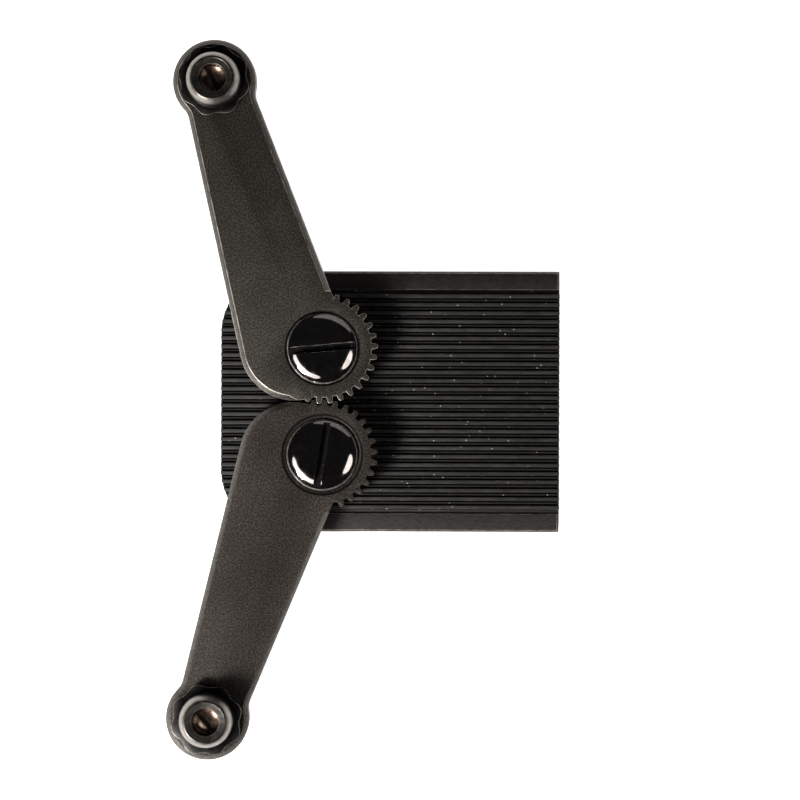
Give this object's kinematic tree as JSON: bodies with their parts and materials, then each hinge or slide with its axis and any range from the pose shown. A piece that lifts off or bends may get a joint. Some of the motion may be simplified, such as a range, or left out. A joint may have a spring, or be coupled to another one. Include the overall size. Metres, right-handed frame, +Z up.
{
  "type": "ribbed bar with geared folding arms",
  "caption": "Ribbed rubber-topped bar with a pair of flat arms geared together at slotted pivot screws, each ending in a round eye with a scalloped thumb nut.",
  "frame": {"origin": "on the plane the bar rests on, midway between the two pivots", "axes": "+X along the bar from its rounded end to its square end, +Y from the lower pivot to the upper pivot, +Z up out of the ribs"},
  "size_m": [0.0889, 0.1627, 0.0202],
  "materials": {
    "black_anodised_aluminium": "black anodised, satin",
    "ribbed_rubber": "moulded, matt with a slight sheen",
    "grip_rubber": "matt",
    "blasted_arm_alloy": "bead-blasted and dark anodised",
    "black_nickel": "polished black nickel",
    "bronze": "plain sintered bronze",
    "zinc_steel": "bright zinc plated",
    "black_nylon": "matt",
    "copper_stud": "copper-coloured, dulled",
    "worn_gunmetal": "black nickel over brass, rubbed at the edges"
  },
  "bodies": {
    "base": {"base_bar": "black_anodised_aluminium", "ribbed_pad": "ribbed_rubber", "grip_sheet": "grip_rubber", "upper_pivot_screw": "black_nickel", "upper_pivot_spacer": "zinc_steel", "upper_friction_washer": "black_nylon", "upper_pivot_insert": "zinc_steel", "lower_pivot_screw": "black_nickel", "lower_pivot_spacer": "zinc_steel", "lower_friction_washer": "black_nylon", "lower_pivot_insert": "zinc_steel"},
    "upper_arm": {"upper_arm": "blasted_arm_alloy", "upper_pivot_bush": "bronze", "upper_clamp_stud": "copper_stud"},
    "upper_washer": {"upper_clamp_washer": "zinc_steel"},
    "upper_nut": {"upper_thumb_nut": "worn_gunmetal"},
    "lower_arm": {"lower_arm": "blasted_arm_alloy", "lower_pivot_bush": "bronze", "lower_clamp_stud": "copper_stud"},
    "lower_washer": {"lower_clamp_washer": "zinc_steel"},
    "lower_nut": {"lower_thumb_nut": "worn_gunmetal"}
  },
  "joints": [
    {"name": "upper_arm_swing", "type": "hinge", "parent": "base", "child": "upper_arm", "pos_m": [0, 0.012, 0.0114], "axis": [0, 0, -1], "range_deg": [0, 112]},
    {"name": "upper_nut_rise", "type": "slide", "parent": "upper_arm", "child": "upper_washer", "axis": [0, 0, 1], "range_m": [0, 0.002]},
    {"name": "upper_nut_turn", "type": "hinge", "parent": "upper_washer", "child": "upper_nut", "pos_m": [-0.02456, 0.07218, 0.0145], "axis": [0, 0, 1], "range_deg": [0, 720]},
    {"name": "lower_arm_swing", "type": "hinge", "parent": "base", "child": "lower_arm", "pos_m": [0, -0.012, 0.0114], "axis": [0, 0, -1], "range_deg": [-112, 0]},
    {"name": "lower_nut_rise", "type": "slide", "parent": "lower_arm", "child": "lower_washer", "axis": [0, 0, 1], "range_m": [0, 0.002]},
    {"name": "lower_nut_turn", "type": "hinge", "parent": "lower_washer", "child": "lower_nut", "pos_m": [-0.02582, -0.07165, 0.0145], "axis": [0, 0, 1], "range_deg": [0, 720]}
  ],
  "couplings": [
    {"joint": "upper_nut_turn", "follows": "upper_nut_rise", "rad_per_m": 6283.2},
    {"joint": "lower_nut_turn", "follows": "lower_nut_rise", "rad_per_m": 6283.2},
    {"joint": "lower_arm_swing", "follows": "upper_arm_swing", "ratio": -1}
  ]
}
